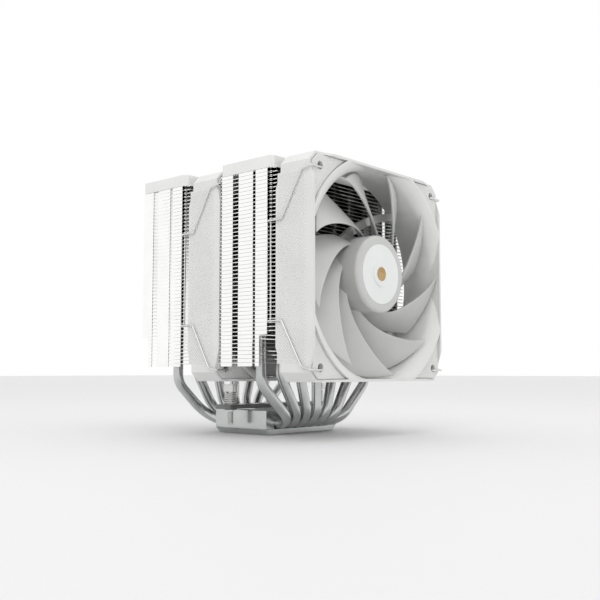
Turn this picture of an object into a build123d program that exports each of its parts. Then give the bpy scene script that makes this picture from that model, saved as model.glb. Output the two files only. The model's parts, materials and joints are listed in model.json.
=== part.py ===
from build123d import *
import os
from math import cos, radians, sin, sqrt

# Dual-tower processor cooler with two 120 mm fans.
# Millimetres. The origin is the centre of the cold plate's contact face, +Z is up, +X is across
# the cooler and +Y is the way the air flows: the front fan is at -Y.

os.makedirs("parts", exist_ok=True)

# ---- cold plate and base block ----
plate_width = 63.0
plate_depth = 42.0
plate_thickness = 3.3
plate_bevel = 3.1
block_height = 10.6
saddle_width = 54.0
saddle_depth = 15.0
saddle_height = 1.1

# ---- heat pipes ----
pipe_count = 7
pipe_diameter = 6.0
pipe_base_pitch = 7.2
pipe_tower_pitch = 15.8
pipe_stub = 1.0
pipe_upper_bend = 12.0
pipe_tip_round = 2.4
pipe_above_fins = 4.0
pipe_knee_drop = 1.5
pipe_knee_curve = 0.0141
solder_gap = 0.05

# ---- fins and towers ----
fin_width = 120.0
tower_depth = 39.6
tower_shift = 2.75
fin_bottom = 40.7
fin_thickness = 0.4
fin_pitch = 2.134
full_fin_count = 42
lower_fin_count = 8
front_notch = 9.0
rear_notch = 6.4
fin_step_reach = 2.3
fin_step_width = 117.0
tab_thickness = 0.4
tab_gap = 0.12
tab_relief = 1.0
# Folded side tabs, as start and end distances behind the tower's front edge.
side_tabs = [(3.3, 12.1), (14.1, 25.2), (29.75, 38.5)]

# ---- covers ----
cover_height = 6.8
cover_wall = 1.4
cover_overhang = 0.6
cover_corner = 2.0
cover_edge_round = 0.6

# ---- fans ----
fan_size = 120.0
fan_hole_inset = 7.5
fan_hole_diameter = 4.3
fan_bottom = 30.8
fan_corner_cut = 5.0
frame_wall = 1.4
rim_rise = 1.6
frame_rear = 24.6
relief_inner_reach = 13.2
relief_outer_reach = 18.7
front_relief_depth = 1.2
rear_relief_depth = 21.1
bore_wall = 1.1
mouth_flare = 6.4
mouth_middle_flare = 1.8
mouth_middle_depth = 1.2
mouth_depth = 6.5
mouth_wall = 1.0
front_gap = 3.0
rear_gap = 0.7
pad_thickness = 2.4
pad_clearance = 0.25
rear_pad_floor = 20.4
motor_plate_overhang = 2.0
motor_plate_front = 20.8
strut_front = 21.4
strut_width = 4.6
strut_bite = 3.1
strut_inset = 2.0
strut_inner_angle = 106.0
strut_middle_angle = 58.9
strut_outer_angle = 41.5
strut_count = 4

# ---- impeller and motor ----
blade_count = 9
tip_clearance = 1.1
hub_radius = 22.0
hub_wall = 1.4
hub_front = -0.2
hub_skin = 1.6
hub_rear = 19.4
hub_edge_round = 2.2
hub_boss_radius = 3.5
hub_boss_rear = 5.0
blade_axial_thickness = 1.5
blade_tip_shift = 0.2
blade_camber = 0.3
# Blade edges as cubics of the span, which is 0 at the tip and 1 at the hub: the angles are in
# degrees and the depths run back from the pad plane.
blade_lead_angle = (123.2, -46.66, 30.38, -52.93)
blade_trail_angle = (87.2, -22.0, -10.0, -24.0)
blade_lead_depth = (-0.25, 8.94, 0.89, 0.0)
blade_trail_depth = (15.5, 3.0, 0.0, 0.0)
badge_radius = 16.8
badge_thickness = 0.6
badge_middle_radius = 7.0
badge_middle_rise = 0.4
spindle_cap_radius = 3.9
spindle_cap_rise = 0.2
spindle_cap_rim = 0.5
spindle_cap_dish = 0.7
cup_wall = 0.8
cup_rear = 18.6
magnet_wall = 2.2
magnet_front = 5.0
magnet_rear = 18.0
air_gap = 0.6
shaft_radius = 1.5
shaft_groove = 0.4
running_clearance = 0.05
bearing_wall = 1.9
bearing_front = 6.5
bearing_rear = 20.2
bearing_step = 0.4
tube_wall = 1.2
tube_lead = 0.3
stator_front = 8.5
stator_rear = 15.5
stator_poles = 4
shoe_thickness = 2.2
shoe_gap = 3.0
core_radius = 7.5
pole_width = 4.4
coil_width = 8.6
coil_overhang = 1.3
coil_core_gap = 0.5
coil_shoe_gap = 1.0
board_radius = 16.0
board_thickness = 1.0
shaft_ring_front = 21.0
shaft_ring_thickness = 0.5
shaft_ring_radius = 2.5
shaft_end = 22.0
motor_cavity_rear = 22.5
fit_gap = 0.02

# ---- wire clips ----
wire_diameter = 1.0
wire_pad_gap = 0.3
wire_side_gap = 0.6
wire_drop = 1.25
wire_bend = 1.15
grip_half_height = 26.7
hook_depth = 5.5
hook_inset = 0.78
slope_front = 5.5
slope_rear = 19.6
slope_fall = 1.5
groove_inset = 2.6
groove_clearance = 0.35
groove_tab_gap = 0.2

# ---- crossbar and spring screws ----
screw_spacing = 79.0
bar_end_radius = 6.0
bar_overhang = 10.0
bar_middle_depth = 14.0
bar_thickness = 2.3
screw_shaft_radius = 2.0
screw_hole_clearance = 0.25
thread_radius = 1.5
thread_tip = 5.8
thread_chamfer = 0.4
screw_head_radius = 4.4
screw_head_height = 4.1
screw_flange_radius = 4.65
screw_flange_height = 0.5
cross_length = 4.2
cross_width = 1.0
cross_depth = 1.0
spring_radius = 3.05
spring_wire = 0.9
spring_length = 7.5
spring_turns = 4
ring_thickness = 0.7
ring_radius = 3.6
ring_groove = 0.4
ring_play = 0.1
ring_mouth = 2.2
ring_shoulder = 0.6
bar_screw_spacing = 40.0
bar_screw_radius = 1.5
bar_screw_head = 2.8
bar_screw_length = 6.3
bar_screw_clearance = 0.1
bar_screw_tip_gap = 0.3

# ---- places worked out from the sizes ----
pipe_radius = pipe_diameter / 2
pipe_height = plate_thickness + pipe_radius + solder_gap
block_top = plate_thickness + block_height
saddle_top = block_top + saddle_height
fan_thickness = frame_rear + rim_rise
tower_gap = rear_gap + fan_thickness + front_gap
tower_pitch = tower_depth + tower_gap
front_tower_y = tower_shift - tower_depth - tower_gap / 2
fin_count = full_fin_count + lower_fin_count
fins_top = fin_bottom + (fin_count - 1) * fin_pitch + fin_thickness
fan_z = fan_bottom + fan_size / 2
fan_y = front_tower_y - front_gap - frame_rear
pipe_top = fins_top + pipe_above_fins
fan_hole_spacing = fan_size - 2 * fan_hole_inset
bore_radius = fan_size / 2 - bore_wall
mouth_radius = bore_radius + mouth_flare
relief_inner_radius = fan_size / 2 + relief_inner_reach
relief_outer_radius = fan_size / 2 + relief_outer_reach
motor_plate_radius = hub_radius + motor_plate_overhang
strut_inner_radius = motor_plate_radius - strut_inset
strut_outer_radius = bore_radius + strut_bite
blade_tip_radius = bore_radius - tip_clearance
blade_zero_radius = blade_tip_radius + blade_tip_shift
groove_radius = wire_diameter / 2 + groove_clearance
groove_x = fin_width / 2 - groove_inset + groove_radius
wire_run = frame_rear + front_gap + side_tabs[0][0] - groove_radius - groove_tab_gap

# ---- cold plate: a flat slab whose two sides slope in towards the contact face ----
with BuildPart() as cold_plate:
    with BuildSketch(Plane.XZ.offset(-plate_depth / 2)):
        with BuildLine():
            Polyline(
                (-plate_width / 2 + plate_bevel, 0),
                (plate_width / 2 - plate_bevel, 0),
                (plate_width / 2, plate_thickness),
                (-plate_width / 2, plate_thickness),
                close=True,
            )
        make_face()
    extrude(amount=plate_depth)
cold_plate.part.label = "cold_plate"
export_step(cold_plate.part, "parts/cold_plate.step")

# ---- base block: lies on the plate, with one round-topped channel for each heat pipe ----
with BuildPart() as base_block:
    with BuildSketch(Plane.XY.offset(plate_thickness)):
        Rectangle(plate_width, plate_depth)
    extrude(amount=block_height)
    with BuildSketch(Plane.XY.offset(block_top)):
        Rectangle(saddle_width, saddle_depth)
    extrude(amount=saddle_height)
    with BuildSketch(Plane.XZ.offset(-plate_depth / 2)):
        with GridLocations(pipe_base_pitch, 0, pipe_count, 1):
            with Locations((0, pipe_height)):
                Circle(pipe_radius + solder_gap)
            with Locations((0, plate_thickness + (pipe_radius + solder_gap) / 2)):
                Rectangle(pipe_diameter + 2 * solder_gap, pipe_radius + solder_gap)
    extrude(amount=plate_depth, mode=Mode.SUBTRACT)
    with Locations(Plane.XY.offset(saddle_top)):
        with GridLocations(bar_screw_spacing, 0, 2, 1):
            Hole(
                radius=bar_screw_radius + fit_gap,
                depth=bar_screw_length - bar_thickness + bar_screw_tip_gap,
            )
base_block.part.label = "base_block"
export_step(base_block.part, "parts/base_block.step")

# ---- heat pipes: up the front tower, down, through the base, and up the rear tower ----
front_row = front_tower_y + tower_depth / 2
rear_row = front_row + tower_pitch
front_bend = -front_row - plate_depth / 2 - pipe_stub
rear_bend = rear_row - plate_depth / 2 - pipe_stub
for pipe_number in range(1, pipe_count + 1):
    place = pipe_number - (pipe_count + 1) / 2
    base_x = place * pipe_base_pitch
    tower_x = place * pipe_tower_pitch
    spread = abs(tower_x - base_x)
    knee = fin_bottom - pipe_knee_drop - pipe_knee_curve * spread**2
    corners = [
        (tower_x, front_row, pipe_top),
        (tower_x, front_row, knee),
        (base_x, front_row, pipe_height),
        (base_x, rear_row, pipe_height),
        (tower_x, rear_row, knee),
        (tower_x, rear_row, pipe_top),
    ]
    bends = [pipe_upper_bend, front_bend, rear_bend, pipe_upper_bend]
    if spread == 0:
        corners = [corners[0], corners[2], corners[3], corners[5]]
        bends = [front_bend, rear_bend]
    with BuildPart() as heat_pipe:
        with BuildLine() as pipe_path:
            FilletPolyline(*corners, radius=bends)
        with BuildSketch(Plane(origin=pipe_path.line @ 0, z_dir=pipe_path.line % 0)):
            Circle(pipe_radius)
        sweep()
        tips = heat_pipe.edges().filter_by(GeomType.CIRCLE).group_by(Axis.Z)[-1]
        fillet(tips, radius=pipe_tip_round)
    heat_pipe.part.label = f"heat_pipe_{pipe_number}"
    export_step(heat_pipe.part, f"parts/heat_pipe_{pipe_number}.step")

# ---- fins: thin sheets with pipe holes, clip grooves and side tabs folded down ----
tab_drop = fin_pitch - fin_thickness - tab_gap


def fin_solid(tower_y, row_y, cut_from, cut_to):
    """One fin with its underside at Z 0; what lies between cut_from and cut_to stays."""
    with BuildPart() as fin:
        with BuildSketch():
            with Locations((0, tower_y + tower_depth / 2)):
                Rectangle(fin_width, tower_depth)
            with Locations((0, tower_y - fin_step_reach / 2)):
                Rectangle(fin_step_width, fin_step_reach)
            with Locations((0, row_y)):
                with GridLocations(pipe_tower_pitch, 0, pipe_count, 1):
                    Circle(pipe_radius + solder_gap, mode=Mode.SUBTRACT)
            with Locations((0, tower_y - front_gap - frame_rear + wire_run)):
                with GridLocations(fin_width, 0, 2, 1):
                    Rectangle(fin_width - 2 * groove_x, 2 * groove_radius, mode=Mode.SUBTRACT)
                with GridLocations(2 * groove_x, 0, 2, 1):
                    Circle(groove_radius, mode=Mode.SUBTRACT)
            for (_, gap_start), (gap_end, _) in zip(side_tabs, side_tabs[1:]):
                with Locations((0, tower_y + (gap_start + gap_end) / 2)):
                    with GridLocations(fin_width, 0, 2, 1):
                        Rectangle(2 * tab_relief, gap_end - gap_start, mode=Mode.SUBTRACT)
        extrude(amount=fin_thickness)
        with BuildSketch():
            for tab_start, tab_end in side_tabs:
                with Locations((0, tower_y + (tab_start + tab_end) / 2)):
                    with GridLocations(fin_width - tab_thickness, 0, 2, 1):
                        Rectangle(tab_thickness, tab_end - tab_start)
        extrude(amount=-tab_drop)
        with BuildSketch(Plane.XY.offset(-fin_pitch)):
            with Locations((0, (cut_from + cut_to) / 2)):
                Rectangle(2 * fin_width, cut_to - cut_from)
        extrude(amount=2 * fin_pitch, mode=Mode.INTERSECT)
    return fin.part


towers = (
    ("front", front_tower_y, front_row, front_notch, 0),
    ("rear", front_tower_y + tower_pitch, rear_row, 0, rear_notch),
)
for tower_name, tower_y, row_y, notch_front, notch_rear in towers:
    full_from = tower_y - fin_step_reach
    full_to = tower_y + tower_depth
    full_fin = fin_solid(tower_y, row_y, full_from, full_to)
    lower_from = tower_y + notch_front if notch_front else full_from
    lower_fin = fin_solid(tower_y, row_y, lower_from, full_to - notch_rear)
    full_levels = [fin_bottom + (lower_fin_count + level) * fin_pitch for level in range(full_fin_count)]
    lower_levels = [fin_bottom + level * fin_pitch for level in range(lower_fin_count)]
    with BuildPart() as fins:
        with Locations([(0, 0, level) for level in full_levels]):
            add(full_fin)
    fins.part.label = f"{tower_name}_fins"
    export_step(fins.part, f"parts/{tower_name}_fins.step")
    with BuildPart() as lower_fins:
        with Locations([(0, 0, level) for level in lower_levels]):
            add(lower_fin)
    lower_fins.part.label = f"{tower_name}_lower_fins"
    export_step(lower_fins.part, f"parts/{tower_name}_lower_fins.step")

    # The cover is a shallow lid that stands on the top fin and hides the pipe tips.
    with BuildPart() as cover:
        with BuildSketch(Plane.XY.offset(fins_top)):
            with Locations((0, tower_y + (tower_depth - cover_overhang) / 2)):
                Rectangle(fin_width + 2 * cover_overhang, tower_depth + cover_overhang)
            chamfer(vertices(), length=cover_corner)
        extrude(amount=cover_height)
        fillet(faces().sort_by(Axis.Z)[-1].edges(), radius=cover_edge_round)
        offset(amount=-cover_wall, openings=faces().sort_by(Axis.Z)[0])
    cover.part.label = f"{tower_name}_cover"
    export_step(cover.part, f"parts/{tower_name}_cover.step")

# ---- one fan blade, in fan coordinates: x across, y up and z towards the front ----
blade_rows = 9
blade_columns = 9


def cubic(factors, span):
    """The value at span of the cubic with these factors, constant first."""
    return sum(factor * span**power for power, factor in enumerate(factors))


def blade_point(radius, chord):
    """A point of the blade's front face; chord is 0 on the leading edge and 1 on the trailing edge."""
    span = (blade_zero_radius - radius) / (blade_zero_radius - hub_radius)
    lead_angle = cubic(blade_lead_angle, span)
    trail_angle = cubic(blade_trail_angle, span)
    lead_depth = cubic(blade_lead_depth, span)
    trail_depth = cubic(blade_trail_depth, span)
    angle = radians(lead_angle + (trail_angle - lead_angle) * chord)
    bowed = chord - blade_camber * chord * (1 - chord)
    depth = lead_depth + (trail_depth - lead_depth) * bowed
    return Vector(radius * cos(angle), radius * sin(angle), -depth)


blade_root_radius = hub_radius - hub_wall / 2
blade_reach = blade_tip_radius - blade_root_radius
blade_grid = []
for row in range(blade_rows):
    row_radius = blade_root_radius + blade_reach * row / (blade_rows - 1)
    chords = [column / (blade_columns - 1) for column in range(blade_columns)]
    blade_grid.append([blade_point(row_radius, chord) for chord in chords])
blade_face = Face.make_surface_from_array_of_points(blade_grid)
with BuildPart() as blade:
    extrude(blade_face, amount=blade_axial_thickness, dir=(0, 0, -1))

# ---- fans: sizes that follow from the ones above ----
pocket_half = fan_size / 2 - frame_wall
pocket_cut = fan_corner_cut - frame_wall * (2 - sqrt(2))
pocket_circle = mouth_radius + mouth_wall
mouth_middle = (mouth_middle_depth, bore_radius + mouth_middle_flare)
bearing_radius = shaft_radius + running_clearance
bearing_outer = bearing_radius + bearing_wall
tube_inner = bearing_outer + fit_gap
tube_outer = tube_inner + tube_wall
tube_front = bearing_front - tube_lead
hub_inner = hub_radius - hub_wall
cup_outer = hub_inner - fit_gap
magnet_outer = cup_outer - cup_wall - fit_gap
magnet_inner = magnet_outer - magnet_wall
stator_radius = magnet_inner - air_gap
badge_floor = hub_front + badge_thickness
hub_inside = hub_front + hub_skin
cut_room = 1.0
side_x = fan_size / 2 + wire_side_gap + wire_diameter / 2
hook_x = fan_hole_spacing / 2 - hook_inset
hook_height = fan_hole_spacing / 2
wire_front = -wire_pad_gap - wire_diameter / 2


def polar_point(radius, degrees):
    """The point at this radius and angle in the fan's front view."""
    return (radius * cos(radians(degrees)), radius * sin(radians(degrees)))


# One curved strut, which carries the motor plate from the bore.
strut_middle_radius = (strut_inner_radius + strut_outer_radius) / 2
with BuildSketch() as strut:
    with BuildLine():
        ThreePointArc(
            polar_point(strut_inner_radius, strut_inner_angle),
            polar_point(strut_middle_radius, strut_middle_angle),
            polar_point(strut_outer_radius, strut_outer_angle),
        )
    trace(line_width=strut_width)

for fan_name, pad_y in (("front", fan_y), ("mid", fan_y + tower_pitch)):
    # pad_plane faces forwards; profile_plane holds turned outlines as (depth, radius).
    pad_plane = Plane(origin=(0, pad_y, fan_z), x_dir=(1, 0, 0), z_dir=(0, -1, 0))
    profile_plane = Plane(origin=(0, pad_y, fan_z), x_dir=(0, 1, 0), z_dir=(1, 0, 0))
    fan_axis = Axis((0, pad_y, fan_z), (0, 1, 0))

    # The bore widens into a mouth at the front and stays inside the frame's four side walls.
    with BuildPart() as bore:
        with BuildSketch(profile_plane):
            with BuildLine():
                ThreePointArc((-rim_rise, mouth_radius), mouth_middle, (mouth_depth, bore_radius))
                Polyline(
                    (mouth_depth, bore_radius),
                    (frame_rear + cut_room, bore_radius),
                    (frame_rear + cut_room, 0),
                    (-rim_rise - cut_room, 0),
                    (-rim_rise - cut_room, mouth_radius),
                    (-rim_rise, mouth_radius),
                )
            make_face()
        revolve(axis=fan_axis)
        with BuildSketch(pad_plane.offset(rim_rise + cut_room)):
            Rectangle(2 * pocket_half, 2 * pocket_half)
        extrude(amount=-(fan_thickness + 2 * cut_room), mode=Mode.INTERSECT)

    # Frame: square tube with relieved corners, pad pockets, motor plate, struts and bearing tube.
    with BuildPart() as fan_frame:
        with BuildSketch(pad_plane.offset(rim_rise)):
            Rectangle(fan_size, fan_size)
            chamfer(vertices(), length=fan_corner_cut)
        extrude(amount=-fan_thickness)
        add(bore.part, mode=Mode.SUBTRACT)
        for face_depth, relief_depth, room in (
            (-rim_rise, front_relief_depth, -cut_room),
            (frame_rear, rear_relief_depth, cut_room),
        ):
            with BuildSketch(profile_plane):
                with BuildLine():
                    Polyline(
                        (face_depth, relief_inner_radius),
                        (relief_depth, relief_outer_radius),
                        (relief_depth, fan_size),
                        (face_depth + room, fan_size),
                        (face_depth + room, relief_inner_radius),
                        close=True,
                    )
                make_face()
            revolve(axis=fan_axis, mode=Mode.SUBTRACT)
        for pocket_start, pocket_end in (
            (-rim_rise - cut_room, pad_thickness),
            (rear_pad_floor, frame_rear + cut_room),
        ):
            with BuildSketch(pad_plane.offset(-pocket_start)):
                Rectangle(2 * pocket_half, 2 * pocket_half)
                chamfer(vertices(), length=pocket_cut)
                Circle(pocket_circle, mode=Mode.SUBTRACT)
            extrude(amount=-(pocket_end - pocket_start), mode=Mode.SUBTRACT)
        with BuildSketch(pad_plane.offset(-frame_rear)):
            Circle(motor_plate_radius)
        extrude(amount=frame_rear - motor_plate_front)
        with BuildSketch(pad_plane.offset(-frame_rear)):
            with PolarLocations(0, strut_count):
                add(strut.sketch)
        extrude(amount=frame_rear - strut_front)
        with BuildSketch(pad_plane.offset(-motor_plate_front)):
            Circle(tube_outer)
        extrude(amount=motor_plate_front - tube_front)
        with BuildSketch(pad_plane.offset(-tube_front)):
            Circle(tube_inner)
        extrude(amount=-(bearing_rear - tube_front), mode=Mode.SUBTRACT)
        with BuildSketch(pad_plane.offset(-bearing_rear)):
            Circle(bearing_outer - bearing_step)
        extrude(amount=-(motor_cavity_rear - bearing_rear), mode=Mode.SUBTRACT)
        with BuildSketch(pad_plane.offset(rim_rise)):
            with GridLocations(fan_hole_spacing, fan_hole_spacing, 2, 2):
                Circle(fan_hole_diameter / 2)
        extrude(amount=-fan_thickness, mode=Mode.SUBTRACT)
    fan_frame.part.label = f"{fan_name}_fan_frame"
    export_step(fan_frame.part, f"parts/{fan_name}_fan_frame.step")

    # Soft corner pads: four let into the front of the frame and four into the back.
    with BuildPart() as pads:
        for pad_start in (0, rear_pad_floor):
            with BuildSketch(pad_plane.offset(-pad_start)):
                Rectangle(2 * (pocket_half - pad_clearance), 2 * (pocket_half - pad_clearance))
                chamfer(vertices(), length=pocket_cut)
                Circle(pocket_circle + pad_clearance, mode=Mode.SUBTRACT)
                with GridLocations(fan_hole_spacing, fan_hole_spacing, 2, 2):
                    Circle(fan_hole_diameter / 2, mode=Mode.SUBTRACT)
            extrude(amount=-pad_thickness)
    pads.part.label = f"{fan_name}_fan_pads"
    export_step(pads.part, f"parts/{fan_name}_fan_pads.step")

    # Impeller: a hub open at the back, a boss that holds the shaft, and the blades.
    with BuildPart() as impeller:
        with BuildSketch(profile_plane):
            with BuildLine():
                CenterArc(
                    (hub_front + hub_edge_round, hub_radius - hub_edge_round),
                    hub_edge_round,
                    start_angle=90,
                    arc_size=90,
                )
                Polyline(
                    (hub_front, hub_radius - hub_edge_round),
                    (hub_front, badge_radius + fit_gap),
                    (badge_floor, badge_radius + fit_gap),
                    (badge_floor, 0),
                    (hub_inside, 0),
                    (hub_inside, shaft_radius + fit_gap),
                    (hub_boss_rear, shaft_radius + fit_gap),
                    (hub_boss_rear, hub_boss_radius),
                    (hub_inside, hub_boss_radius),
                    (hub_inside, hub_inner),
                    (hub_rear, hub_inner),
                    (hub_rear, hub_radius),
                    (hub_front + hub_edge_round, hub_radius),
                )
            make_face()
        revolve(axis=fan_axis)
        with Locations(pad_plane):
            with PolarLocations(0, blade_count):
                add(blade.part)
    impeller.part.label = f"{fan_name}_impeller"
    export_step(impeller.part, f"parts/{fan_name}_impeller.step")

    # Hub badge: a thin plain disc with a raised middle, let into the front of the hub.
    with BuildPart() as badge:
        with BuildSketch(pad_plane.offset(-badge_floor)):
            Circle(badge_radius)
            Circle(spindle_cap_radius + fit_gap, mode=Mode.SUBTRACT)
        extrude(amount=badge_thickness)
        with BuildSketch(pad_plane.offset(-hub_front)):
            Circle(badge_middle_radius)
            Circle(spindle_cap_radius + fit_gap, mode=Mode.SUBTRACT)
        extrude(amount=badge_middle_rise)
    badge.part.label = f"{fan_name}_hub_badge"
    export_step(badge.part, f"parts/{fan_name}_hub_badge.step")

    # Spindle cap: a small disc in the middle of the badge, dished by a spherical hollow.
    cap_front = hub_front - badge_middle_rise - spindle_cap_rise
    dish_edge = spindle_cap_radius - spindle_cap_rim
    dish_sphere = (dish_edge**2 + spindle_cap_dish**2) / (2 * spindle_cap_dish)
    with BuildPart() as spindle_cap:
        with BuildSketch(pad_plane.offset(-badge_floor)):
            Circle(spindle_cap_radius)
        extrude(amount=badge_floor - cap_front)
        with Locations(pad_plane.offset(dish_sphere - spindle_cap_dish - cap_front)):
            Sphere(radius=dish_sphere, mode=Mode.SUBTRACT)
    spindle_cap.part.label = f"{fan_name}_spindle_cap"
    export_step(spindle_cap.part, f"parts/{fan_name}_spindle_cap.step")

    # Rotor cup: a steel cup pressed into the hub; it carries the ring magnet.
    with BuildPart() as rotor_cup:
        with BuildSketch(pad_plane.offset(-hub_inside)):
            Circle(cup_outer)
            Circle(hub_boss_radius + fit_gap, mode=Mode.SUBTRACT)
        extrude(amount=-cup_wall)
        with BuildSketch(pad_plane.offset(-hub_inside)):
            Circle(cup_outer)
            Circle(cup_outer - cup_wall, mode=Mode.SUBTRACT)
        extrude(amount=-(cup_rear - hub_inside))
    rotor_cup.part.label = f"{fan_name}_rotor_cup"
    export_step(rotor_cup.part, f"parts/{fan_name}_rotor_cup.step")

    with BuildPart() as magnet:
        with BuildSketch(pad_plane.offset(-magnet_front)):
            Circle(magnet_outer)
            Circle(magnet_inner, mode=Mode.SUBTRACT)
        extrude(amount=-(magnet_rear - magnet_front))
    magnet.part.label = f"{fan_name}_magnet"
    export_step(magnet.part, f"parts/{fan_name}_magnet.step")

    # Shaft: runs in the bearing and has a groove near its end for the shaft ring.
    ring_seat = shaft_radius - shaft_groove
    with BuildPart() as shaft:
        with BuildSketch(pad_plane.offset(-hub_inside)):
            Circle(shaft_radius)
        extrude(amount=-(shaft_end - hub_inside))
        with BuildSketch(pad_plane.offset(-shaft_ring_front)):
            Circle(2 * shaft_radius)
            Circle(ring_seat, mode=Mode.SUBTRACT)
        extrude(amount=-shaft_ring_thickness, mode=Mode.SUBTRACT)
    shaft.part.label = f"{fan_name}_shaft"
    export_step(shaft.part, f"parts/{fan_name}_shaft.step")

    with BuildPart() as shaft_ring:
        with BuildSketch(pad_plane.offset(-shaft_ring_front)):
            Circle(shaft_ring_radius)
            Circle(ring_seat + fit_gap, mode=Mode.SUBTRACT)
            with Locations((0, -shaft_ring_radius)):
                Rectangle(2 * ring_seat, 2 * shaft_ring_radius, mode=Mode.SUBTRACT)
        extrude(amount=-shaft_ring_thickness)
    shaft_ring.part.label = f"{fan_name}_shaft_ring"
    export_step(shaft_ring.part, f"parts/{fan_name}_shaft_ring.step")

    with BuildPart() as bearing:
        with BuildSketch(pad_plane.offset(-bearing_front)):
            Circle(bearing_outer)
            Circle(bearing_radius, mode=Mode.SUBTRACT)
        extrude(amount=-(bearing_rear - bearing_front))
    bearing.part.label = f"{fan_name}_bearing"
    export_step(bearing.part, f"parts/{fan_name}_bearing.step")

    # Stator: a steel core with one shoe at the end of each pole, pushed on to the bearing tube.
    with BuildPart() as stator:
        with BuildSketch(pad_plane.offset(-stator_front)):
            Circle(stator_radius)
            Circle(stator_radius - shoe_thickness, mode=Mode.SUBTRACT)
            with PolarLocations(stator_radius, stator_poles, start_angle=45):
                Rectangle(2 * stator_radius - 2 * core_radius, shoe_gap, mode=Mode.SUBTRACT)
            Circle(core_radius)
            with PolarLocations((stator_radius - shoe_thickness / 2) / 2, stator_poles):
                Rectangle(stator_radius - shoe_thickness / 2, pole_width)
            Circle(tube_outer + fit_gap, mode=Mode.SUBTRACT)
        extrude(amount=-(stator_rear - stator_front))
    stator.part.label = f"{fan_name}_stator"
    export_step(stator.part, f"parts/{fan_name}_stator.step")

    # Windings: one coil round each pole, between the core and the shoe.
    coil_start = core_radius + coil_core_gap
    coil_end = stator_radius - shoe_thickness - coil_shoe_gap
    with BuildPart() as windings:
        with BuildSketch(pad_plane.offset(-(stator_front - coil_overhang))):
            with PolarLocations((coil_start + coil_end) / 2, stator_poles):
                Rectangle(coil_end - coil_start, coil_width)
        extrude(amount=-(stator_rear - stator_front + 2 * coil_overhang))
        with BuildSketch(pad_plane.offset(-(stator_front - fit_gap))):
            with PolarLocations((coil_start + coil_end) / 2, stator_poles):
                Rectangle(2 * (coil_end - coil_start), pole_width + 2 * fit_gap)
        extrude(amount=-(stator_rear - stator_front + 2 * fit_gap), mode=Mode.SUBTRACT)
    windings.part.label = f"{fan_name}_windings"
    export_step(windings.part, f"parts/{fan_name}_windings.step")

    with BuildPart() as circuit_board:
        with BuildSketch(pad_plane.offset(-(motor_plate_front - board_thickness))):
            Circle(board_radius)
            Circle(tube_outer + fit_gap, mode=Mode.SUBTRACT)
        extrude(amount=-board_thickness)
    circuit_board.part.label = f"{fan_name}_circuit_board"
    export_step(circuit_board.part, f"parts/{fan_name}_circuit_board.step")

    # Wire clips: hooked into the frame's holes and laid in the grooves down the fins' sides.
    for side_name, side in (("left", -1), ("right", 1)):
        upper_half = [
            (hook_x, hook_depth, hook_height),
            (hook_x, wire_front, hook_height),
            (side_x, wire_front, hook_height),
            (side_x, slope_front, hook_height - slope_fall),
            (side_x, slope_rear, grip_half_height),
            (side_x, wire_run, grip_half_height),
            (groove_x, wire_run, grip_half_height),
        ]
        lower_half = [(x, depth, -height) for x, depth, height in reversed(upper_half)]
        wire_points = []
        for x, depth, height in upper_half + lower_half:
            wire_points.append((side * x, pad_y + depth, fan_z + height - wire_drop))
        with BuildPart() as clip:
            with BuildLine() as wire_path:
                FilletPolyline(*wire_points, radius=wire_bend)
            with BuildSketch(Plane(origin=wire_path.line @ 0, z_dir=wire_path.line % 0)):
                Circle(wire_diameter / 2)
            sweep()
        clip.part.label = f"{fan_name}_{side_name}_clip"
        export_step(clip.part, f"parts/{fan_name}_{side_name}_clip.step")

# ---- crossbar: a steel strip on the saddle, held by two countersunk screws ----
bar_top = saddle_top + bar_thickness
screw_x = screw_spacing / 2
bar_end_x = screw_x + bar_overhang - bar_end_radius
with BuildPart() as crossbar:
    with BuildSketch(Plane.XY.offset(saddle_top)):
        with GridLocations(2 * bar_end_x, 0, 2, 1):
            Circle(bar_end_radius)
        with GridLocations(bar_screw_spacing, 0, 2, 1):
            Circle(bar_middle_depth / 2)
        make_hull()
    extrude(amount=bar_thickness)
    with Locations(Plane.XY.offset(bar_top)):
        with GridLocations(screw_spacing, 0, 2, 1):
            Hole(radius=screw_shaft_radius + screw_hole_clearance)
        with GridLocations(bar_screw_spacing, 0, 2, 1):
            CounterSinkHole(
                radius=bar_screw_radius + bar_screw_clearance,
                counter_sink_radius=bar_screw_head + fit_gap,
                counter_sink_angle=90,
            )
crossbar.part.label = "crossbar"
export_step(crossbar.part, "parts/crossbar.step")

with BuildPart() as crossbar_screws:
    for side in (-1, 1):
        place = Plane(origin=(side * bar_screw_spacing / 2, 0, bar_top), x_dir=(1, 0, 0), z_dir=(0, -1, 0))
        with BuildSketch(place):
            with BuildLine():
                Polyline(
                    (0, 0),
                    (bar_screw_head, 0),
                    (bar_screw_radius, bar_screw_radius - bar_screw_head),
                    (bar_screw_radius, -bar_screw_length),
                    (0, -bar_screw_length),
                    close=True,
                )
            make_face()
        revolve(axis=Axis(place.origin, (0, 0, 1)))
    with BuildSketch(Plane.XY.offset(bar_top)):
        with GridLocations(bar_screw_spacing, 0, 2, 1):
            Rectangle(cross_length, cross_width)
            Rectangle(cross_width, cross_length)
    extrude(amount=-cross_depth, mode=Mode.SUBTRACT)
crossbar_screws.part.label = "crossbar_screws"
export_step(crossbar_screws.part, "parts/crossbar_screws.step")

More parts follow.
